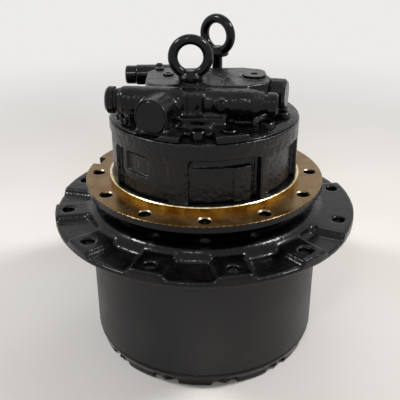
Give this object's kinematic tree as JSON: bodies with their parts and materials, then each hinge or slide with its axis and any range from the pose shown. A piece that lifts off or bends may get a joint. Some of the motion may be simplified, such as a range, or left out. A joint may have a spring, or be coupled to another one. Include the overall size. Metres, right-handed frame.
{
  "type": "excavator final drive",
  "caption": "Hydraulic travel motor on a planetary reduction hub for a tracked excavator, with frame flange, sprocket flange, valve block and lifting eye bolts.",
  "frame": {"origin": "on the drive's axis, in the plane of the frame flange's machined face (the motor side)", "axes": "+Z along the axis towards the motor and its valve block, +X to the right seen from the front, -Y towards the front, where the round port boss is to the left"},
  "size_m": [0.4609, 0.461, 0.4967],
  "materials": {
    "black_enamel": "thick gloss enamel over casting skin",
    "blackened_steel": "gloss enamel over blackened steel",
    "bright_steel": "ground and oiled",
    "gear_steel": "hardened and ground, oiled",
    "cast_carrier": "machined nodular iron, oiled",
    "bronze": "machined, oiled",
    "nitrile_rubber": "moulded, matt",
    "friction_lining": "sintered lining, matt"
  },
  "bodies": {
    "housing": {"motor_housing": "black_enamel", "rear_cover": "black_enamel", "rear_cover_screws": "blackened_steel", "spool_cap_left": "blackened_steel", "spool_cap_right": "blackened_steel", "spool_springs": "bright_steel", "front_port_plug": "blackened_steel", "relief_valve_cap": "blackened_steel", "speed_valve_cap": "blackened_steel", "top_socket_plug": "blackened_steel", "gauge_plugs": "blackened_steel", "eye_bolt_front": "blackened_steel", "eye_bolt_rear": "blackened_steel", "valve_plate": "bronze", "swash_plate": "bright_steel", "shaft_needle_bearings": "bright_steel", "shaft_seal": "nitrile_rubber", "brake_plates": "bright_steel", "brake_spring": "bright_steel", "main_bearing_inner_rings": "bright_steel", "bearing_nut": "bright_steel", "fixed_seal_ring": "cast_carrier", "fixed_toric_ring": "nitrile_rubber", "carrier_2": "cast_carrier", "carrier_2_screws": "bright_steel", "carrier_2_pins": "bright_steel", "stage_2_needle_cages": "bright_steel", "stage_2_thrust_washers": "bronze"},
    "hub": {"hub": "black_enamel", "end_cover": "black_enamel", "end_cover_screws": "blackened_steel", "oil_plugs": "blackened_steel", "thrust_button": "bronze", "main_bearing_outer_rings": "bright_steel", "turning_seal_ring": "cast_carrier", "turning_toric_ring": "nitrile_rubber"},
    "bearing_rollers": {"main_bearing_rollers": "bright_steel"},
    "stage_2_planet_a": {"stage_2_planet_1": "gear_steel"},
    "stage_2_planet_b": {"stage_2_planet_2": "gear_steel"},
    "stage_2_planet_c": {"stage_2_planet_3": "gear_steel"},
    "carrier_1": {"carrier_1": "cast_carrier", "carrier_1_pins": "bright_steel", "stage_1_needle_cages": "bright_steel", "stage_1_thrust_washers": "bronze", "sun_gear_2": "gear_steel"},
    "stage_1_planet_a": {"stage_1_planet_1": "gear_steel"},
    "stage_1_planet_b": {"stage_1_planet_2": "gear_steel"},
    "stage_1_planet_c": {"stage_1_planet_3": "gear_steel"},
    "input_shaft": {"drive_shaft": "bright_steel", "coupling_sleeve": "bright_steel", "sun_gear_1": "gear_steel", "cylinder_block": "bright_steel", "pistons": "bright_steel", "piston_shoes": "bronze", "retainer_plate": "bright_steel", "brake_discs": "friction_lining"},
    "spool": {"counterbalance_spool": "bright_steel"},
    "brake_piston": {"brake_piston": "bright_steel"}
  },
  "joints": [
    {"name": "hub_spin", "type": "hinge", "parent": "housing", "child": "hub", "pos_m": [0, 0, 0], "axis": [0, 0, 1], "continuous": true},
    {"name": "rollers_spin", "type": "hinge", "parent": "housing", "child": "bearing_rollers", "pos_m": [0, 0, 0], "axis": [0, 0, 1], "continuous": true},
    {"name": "carrier_1_spin", "type": "hinge", "parent": "housing", "child": "carrier_1", "pos_m": [0, 0, 0], "axis": [0, 0, 1], "continuous": true},
    {"name": "input_shaft_spin", "type": "hinge", "parent": "housing", "child": "input_shaft", "pos_m": [0, 0, 0], "axis": [0, 0, 1], "continuous": true},
    {"name": "stage_2_planet_a_spin", "type": "hinge", "parent": "housing", "child": "stage_2_planet_a", "pos_m": [0.09, 0, 0], "axis": [0, 0, 1], "continuous": true},
    {"name": "stage_2_planet_b_spin", "type": "hinge", "parent": "housing", "child": "stage_2_planet_b", "pos_m": [-0.045, 0.07794, 0], "axis": [0, 0, 1], "continuous": true},
    {"name": "stage_2_planet_c_spin", "type": "hinge", "parent": "housing", "child": "stage_2_planet_c", "pos_m": [-0.045, -0.07794, 0], "axis": [0, 0, 1], "continuous": true},
    {"name": "stage_1_planet_a_spin", "type": "hinge", "parent": "carrier_1", "child": "stage_1_planet_a", "pos_m": [0.084, 0, 0], "axis": [0, 0, 1], "continuous": true},
    {"name": "stage_1_planet_b_spin", "type": "hinge", "parent": "carrier_1", "child": "stage_1_planet_b", "pos_m": [-0.042, 0.07275, 0], "axis": [0, 0, 1], "continuous": true},
    {"name": "stage_1_planet_c_spin", "type": "hinge", "parent": "carrier_1", "child": "stage_1_planet_c", "pos_m": [-0.042, -0.07275, 0], "axis": [0, 0, 1], "continuous": true},
    {"name": "brake_piston_slide", "type": "slide", "parent": "housing", "child": "brake_piston", "axis": [0, 0, 1], "range_m": [0, 0.002], "stiffness_N_per_m": 20000, "springref_m": -0.002, "deforming": ["brake_spring"]},
    {"name": "spool_slide", "type": "slide", "parent": "housing", "child": "spool", "axis": [0.9943, -0.1063, 0], "range_m": [-0.006, 0.006], "stiffness_N_per_m": 4000}
  ],
  "couplings": [
    {"joint": "rollers_spin", "follows": "hub_spin", "ratio": 0.5236},
    {"joint": "carrier_1_spin", "follows": "hub_spin", "ratio": -4},
    {"joint": "input_shaft_spin", "follows": "hub_spin", "ratio": -34},
    {"joint": "stage_2_planet_a_spin", "follows": "hub_spin", "ratio": 2.6667},
    {"joint": "stage_2_planet_b_spin", "follows": "hub_spin", "ratio": 2.6667},
    {"joint": "stage_2_planet_c_spin", "follows": "hub_spin", "ratio": 2.6667},
    {"joint": "stage_1_planet_a_spin", "follows": "hub_spin", "ratio": 12},
    {"joint": "stage_1_planet_b_spin", "follows": "hub_spin", "ratio": 12},
    {"joint": "stage_1_planet_c_spin", "follows": "hub_spin", "ratio": 12}
  ]
}
